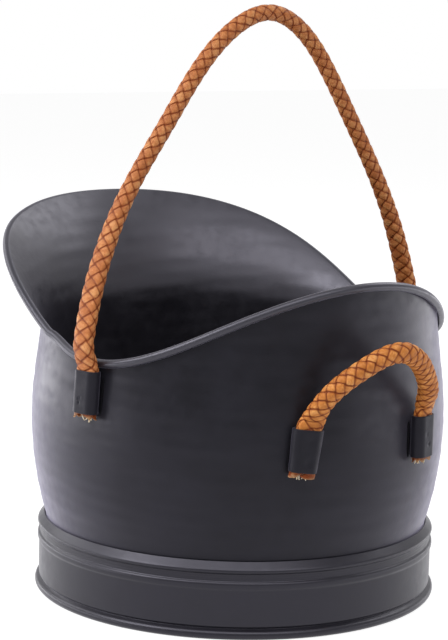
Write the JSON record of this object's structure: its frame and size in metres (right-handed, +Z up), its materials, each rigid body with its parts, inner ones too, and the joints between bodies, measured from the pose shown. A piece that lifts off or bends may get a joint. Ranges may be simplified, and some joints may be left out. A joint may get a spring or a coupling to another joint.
{
  "type": "coal bucket",
  "caption": "Helmet-shaped coal bucket of painted sheet steel with a flared pouring lip, a foot band, a tall braided rope carrying handle and a small rope tipping handle.",
  "frame": {"origin": "on the ground under the middle of the part's box, close to the axis of the round foot", "axes": "+Z up; -Y towards the pouring lip; +Y towards the tipping handle; X across, along the line of the carrying handle"},
  "size_m": [0.3202, 0.3642, 0.4176],
  "materials": {
    "painted_steel": "satin charcoal paint, slightly mottled",
    "socket_steel": "satin charcoal paint on pressed tube, worn at the edges",
    "wire_steel": "bare drawn wire, hidden",
    "rope_leather": "tan braided leather, waxed",
    "core_cord": "pale twisted core, hidden"
  },
  "bodies": {
    "bucket": {"body_shell": "painted_steel", "rim_wire": "wire_steel", "base_pan": "painted_steel", "skirt_band": "painted_steel", "foot_wire": "wire_steel", "carry_socket_right": "socket_steel", "carry_socket_left": "socket_steel", "rear_socket_right": "socket_steel", "rear_socket_left": "socket_steel", "carry_socket_right_weld_near": "socket_steel", "carry_socket_right_weld_far": "socket_steel", "carry_socket_left_weld_near": "socket_steel", "carry_socket_left_weld_far": "socket_steel", "rear_socket_right_weld_near": "socket_steel", "rear_socket_right_weld_far": "socket_steel", "rear_socket_left_weld_near": "socket_steel", "rear_socket_left_weld_far": "socket_steel", "carry_rope_end_right": "rope_leather", "carry_rope_end_left": "rope_leather", "rear_rope_end_right": "rope_leather", "rear_rope_end_left": "rope_leather"},
    "carry_handle": {"carry_handle_rope": "rope_leather", "carry_handle_core": "core_cord"},
    "rear_handle": {"rear_handle_rope": "rope_leather", "rear_handle_core": "core_cord"}
  },
  "joints": [
    {"name": "carry_handle_swing", "type": "hinge", "parent": "bucket", "child": "carry_handle", "pos_m": [-0.00007, 0.01658, 0.19534], "axis": [0.9979, 0.0654, 0], "range_deg": [-60, 60], "stiffness_Nm_per_rad": 1.5},
    {"name": "rear_handle_swing", "type": "hinge", "parent": "bucket", "child": "rear_handle", "pos_m": [0.00207, 0.14319, 0.15248], "axis": [1, -0.0056, -0.0005], "range_deg": [-50, 30], "stiffness_Nm_per_rad": 1}
  ]
}
